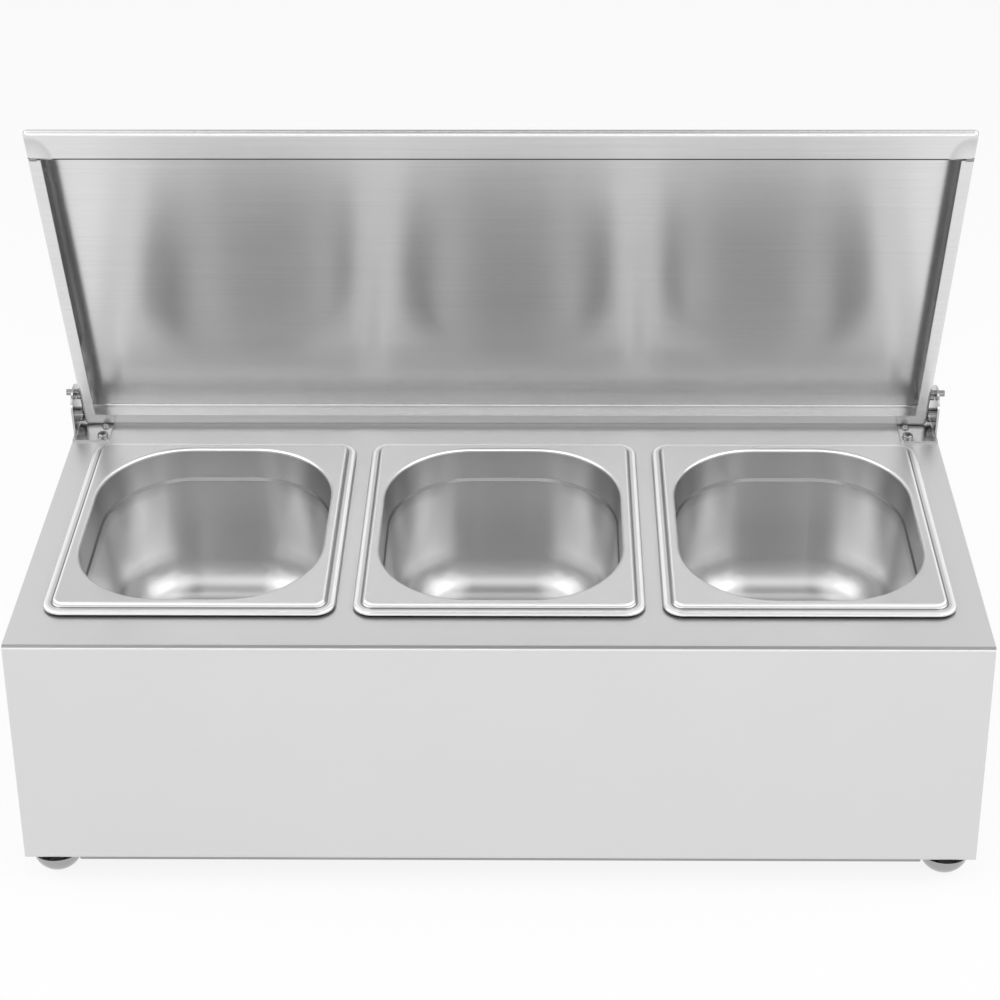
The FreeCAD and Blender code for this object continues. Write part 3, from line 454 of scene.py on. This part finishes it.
def weld_bead(name, x, seed):
    """One bead across the seam of the lips, baked to a plain mesh and carried onto the lid."""
    maker = bpy.data.objects.new(name + "_maker", bpy.data.meshes.new(name + "_maker"))
    bpy.context.scene.collection.objects.link(maker)
    modifier = maker.modifiers.new("ripples", "NODES")
    modifier.node_group = ripples
    values = {"Ripples": RIPPLES, "Spacing": SPACING, "Ripple size": RIPPLE_SIZE, "Seed": seed}
    for item in ripples.interface.items_tree:
        if item.in_out == "INPUT":
            modifier[item.identifier] = values[item.name]
    mesh = bpy.data.meshes.new_from_object(maker.evaluated_get(bpy.context.evaluated_depsgraph_get()))
    bpy.data.objects.remove(maker)
    mesh.name = name
    for vert in mesh.vertices:
        vert.co = on_lid(x - HALF_BEAD + vert.co.x, WELD_ALONG * MM + vert.co.y, LIP_LEVEL + vert.co.z)
    mesh.shade_smooth()
    bead = bpy.data.objects.new(name, mesh)
    bpy.context.scene.collection.objects.link(bead)
    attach(bead, "lid")
    return bead


beads = [weld_bead("weld_bead_left", -260.5 * MM, 4), weld_bead("weld_bead_right", 261.0 * MM, 19)]
print("weld beads", [(bead.name, len(bead.data.polygons)) for bead in beads])

# %% [markdown]
# ## Light and floor
# Steel shows the room that it stands in more than its own colour, so the room is part of its finish. A
# catalogue photograph is taken in a white room. Here the camera's side of it is white near the floor and
# dark above that, apart from one pale band, and the ceiling is dark. That is what makes the rear walls
# of the pans and the ovals in the lid dark. The room is painted on the sky by direction, so it stays
# where it is when the camera moves. The floor is pale and keeps the holder's soft shadow.

# %% Background share


def shows_background(tree, share=1.0):
    """The share of plain white that a ray sees: all but the rays that light matt surfaces see it."""
    ray = node(tree, "ShaderNodeLightPath").outputs
    seen = ray["Is Camera Ray"]
    for kind in ("Is Glossy Ray", "Is Transmission Ray"):
        seen = node(tree, "ShaderNodeMath", {0: seen, 1: ray[kind]}, operation="MAXIMUM").outputs[0]
    return node(tree, "ShaderNodeMath", {0: seen, 1: share}, operation="MULTIPLY").outputs[0]


print("camera, glossy and transmission rays see the background")

# %% White room
# Each stop is the height of a direction, from 0 at the horizon to 1 straight up, and its grey level. For
# SIDES it is how far the direction points to either side, and how white the room has turned there.
IN_FRONT = [(0.0, 1.0), (0.14, 1.0), (0.24, 0.25), (0.5, 0.25), (0.58, 0.75), (0.66, 0.75), (0.74, 0.1),
            (1.0, 0.1)]
BEHIND = [(0.0, 1.0), (0.5, 1.0), (0.7, 0.8), (1.0, 0.15)]
SIDES = [(0.1, 0.0), (0.3, 1.0)]
TURNS_OVER = 0.35  # how far to the front and to the back the two blend
MATT_LIGHT, PLAIN_WHITE = 0.7, 1.0
world = bpy.data.worlds.new("white_room")
bpy.context.scene.world = world
world.use_nodes = True
tree = world.node_tree
tree.nodes.clear()
direction = node(tree, "ShaderNodeTexCoord").outputs["Generated"]
aim = node(tree, "ShaderNodeSeparateXYZ", {"Vector": direction}).outputs
front_side, back_side = (node(tree, "ShaderNodeValToRGB", {"Fac": aim["Z"]}, stops=stops).outputs["Color"]
                         for stops in (IN_FRONT, BEHIND))
toward_back = node(tree, "ShaderNodeMapRange", {"Value": aim["Y"], "From Min": -TURNS_OVER,
                                                "From Max": TURNS_OVER}).outputs["Result"]
either_side = node(tree, "ShaderNodeMath", {0: aim["X"]}, operation="ABSOLUTE").outputs[0]
sideways = node(tree, "ShaderNodeValToRGB", {"Fac": either_side}, stops=SIDES).outputs["Color"]
room = node(tree, "ShaderNodeMix", {"Factor": toward_back, "A": front_side, "B": back_side},
            data_type="RGBA").outputs["Result"]
room = node(tree, "ShaderNodeMix", {"Factor": sideways, "A": room, "B": (1, 1, 1, 1)},
            data_type="RGBA").outputs["Result"]
lit, white = (node(tree, "ShaderNodeBackground", {"Color": room, "Strength": strength}).outputs[0]
              for strength in (MATT_LIGHT, PLAIN_WHITE))
mixed = node(tree, "ShaderNodeMixShader", {0: shows_background(tree), 1: lit, 2: white})
node(tree, "ShaderNodeOutputWorld", {"Surface": mixed.outputs[0]})
print("room", world.name, "with", len(IN_FRONT), "heights on the camera's side")

# %% Floor
HALF_FLOOR, FLOOR_WHITE = 12, 0.86
floor_mesh = bpy.data.meshes.new("floor")
floor_mesh.from_pydata([(x * HALF_FLOOR, y * HALF_FLOOR, 0) for x, y in ((-1, -1), (1, -1), (1, 1), (-1, 1))],
                       [], [(0, 1, 2, 3)])
floor = bpy.data.objects.new("floor", floor_mesh)
bpy.context.scene.collection.objects.link(floor)
paint = bpy.data.materials.new("matt_white_floor")
paint.use_nodes = True
tree = paint.node_tree
shader = tree.nodes["Principled BSDF"]
shader.inputs["Base Color"].default_value = linear("#F4F4F4")
shader.inputs["Roughness"].default_value = 0.9
glow = node(tree, "ShaderNodeEmission", {"Color": (1, 1, 1, 1), "Strength": PLAIN_WHITE})
blend = node(tree, "ShaderNodeMixShader", {0: shows_background(tree, FLOOR_WHITE), 1: shader.outputs[0],
                                           2: glow.outputs[0]})
tree.links.new(blend.outputs[0], tree.nodes["Material Output"].inputs["Surface"])
floor_mesh.materials.append(paint)
print("floor", 2 * HALF_FLOOR, "m square")

# %% [markdown]
# Five soft lamps do the rest. Two large ones at the sides light the pans and the ends, one high in front
# is the pale band that the lid mirrors, one low in front is what the deck mirrors by way of the lid, and a
# weak one overhead gives the beads their thin bright lines. Large weak lamps keep the steel from
# clipping to white where it mirrors one.

# %% Lamps
LAMPS = {  # place, what it faces, width and height in metres, and watts
    "overhead": ((0.0, -0.2, 1.9), (0, 0, 0.1), (2.0, 0.5), 4),
    "front_top": ((0.0, -2.1, 1.8), (0, 0, 0.15), (3.2, 1.5), 8),
    "front_low": ((0.0, -2.3, 0.4), (0, 0, 0.3), (2.6, 0.5), 7),
    "left": ((-1.7, -0.4, 1.35), (0, 0, 0.15), (2.4, 0.9), 13),
    "right": ((1.7, -0.4, 1.35), (0, 0, 0.15), (2.4, 0.9), 13),
}


def soft_light(name, at, aim, size, watts):
    """A rectangular soft light at a place, facing another place."""
    lamp = bpy.data.lights.new(name, "AREA")
    lamp.shape = "RECTANGLE"
    lamp.size, lamp.size_y = size
    lamp.energy = watts
    item = bpy.data.objects.new(name, lamp)
    bpy.context.scene.collection.objects.link(item)
    item.location = at
    item.rotation_euler = (Vector(aim) - Vector(at)).to_track_quat("-Z", "Y").to_euler()


for name, settings in LAMPS.items():
    soft_light(name, *settings)

# %% View settings
bpy.context.scene.view_settings.view_transform = "Standard"
